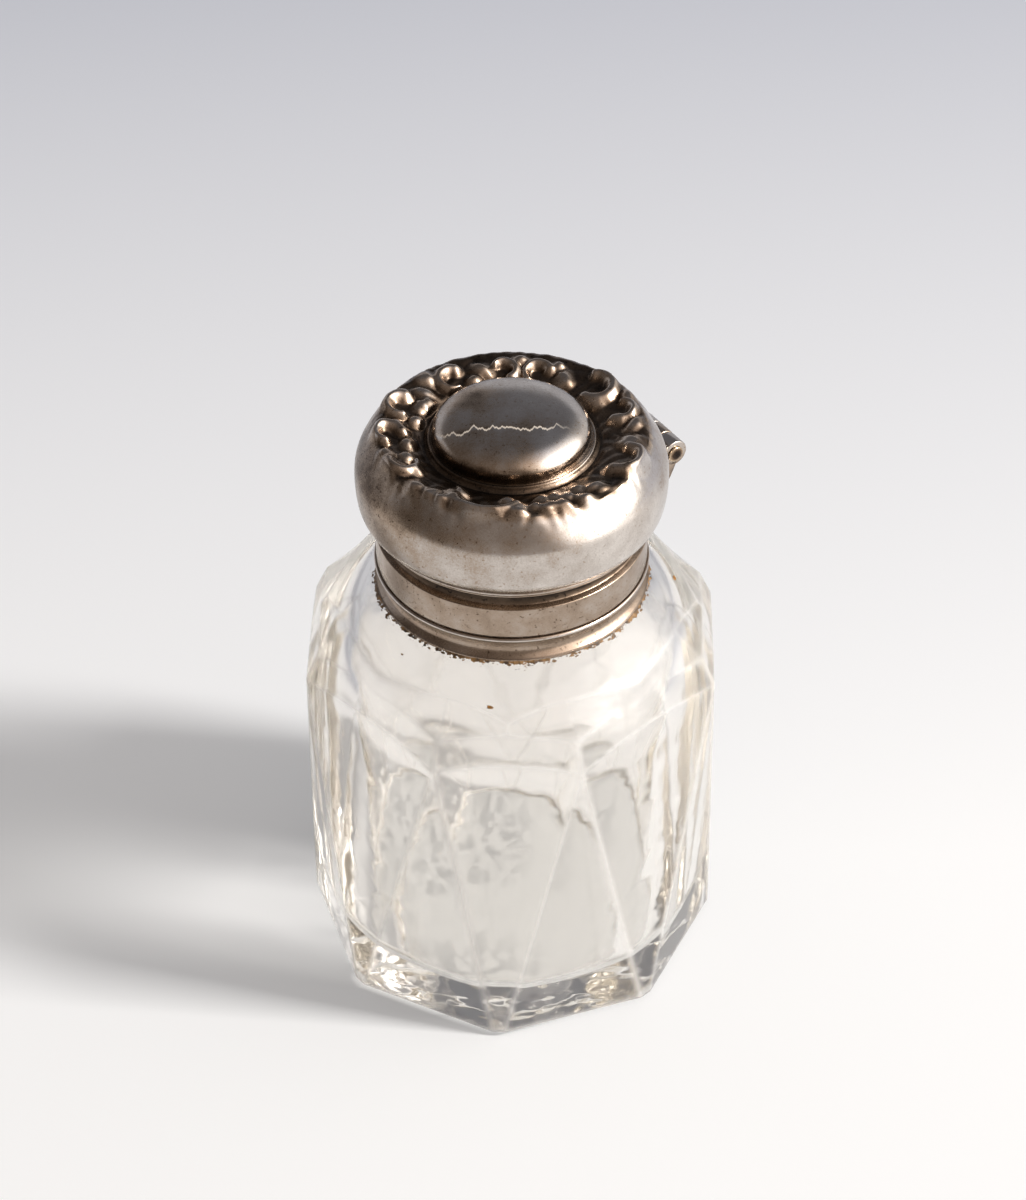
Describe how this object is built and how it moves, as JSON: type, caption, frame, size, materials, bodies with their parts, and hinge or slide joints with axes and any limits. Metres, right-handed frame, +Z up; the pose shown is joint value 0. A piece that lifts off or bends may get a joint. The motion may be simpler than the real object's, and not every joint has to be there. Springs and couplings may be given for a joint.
{
  "type": "scent bottle",
  "caption": "Small cut-glass scent bottle with faceted body, spun silver collar, ground stopper and a stamped silver lid on a stand-away hinge.",
  "frame": {"origin": "centre of the base, on the surface that the bottle stands on", "axes": "+Z up along the neck, -Y towards the viewer of the picture, +X to the viewer's right"},
  "size_m": [0.0366, 0.0366, 0.056],
  "materials": {
    "cut_glass": "clear lead glass, cut and polished, faintly straw at its edges",
    "stopper_glass": "clear button over a ground plug",
    "plaster": "matt white plaster, yellowed",
    "aged_silver": "stamped and spun silver, worn bright on the high places with brown patina in the hollows",
    "hinge_pin_metal": "drawn wire, dull copper brown",
    "gilt_silver": "thin worn gilding, satin"
  },
  "bodies": {
    "bottle": {"glass_bottle": "cut_glass", "neck_cement": "plaster", "collar_band": "aged_silver", "collar_bead_wire": "aged_silver", "collar_bezel": "aged_silver", "collar_hinge_leaf": "aged_silver", "hinge_pin": "hinge_pin_metal"},
    "lid": {"lid_shell": "aged_silver", "lid_rim_wire": "aged_silver", "lid_liner": "gilt_silver", "lid_hinge_leaf": "aged_silver"},
    "stopper": {"glass_stopper": "stopper_glass"}
  },
  "joints": [
    {"name": "lid_hinge", "type": "hinge", "parent": "bottle", "child": "lid", "pos_m": [0.01258, 0.00817, 0.0468], "axis": [-0.5446, 0.8387, 0], "range_deg": [0, 105]},
    {"name": "stopper_lift", "type": "slide", "parent": "bottle", "child": "stopper", "axis": [0, 0, 1], "range_m": [0, 0.014]}
  ],
  "couplings": [
    {"joint": "stopper_lift", "follows": "lid_hinge", "m_per_rad": 0.0076}
  ]
}
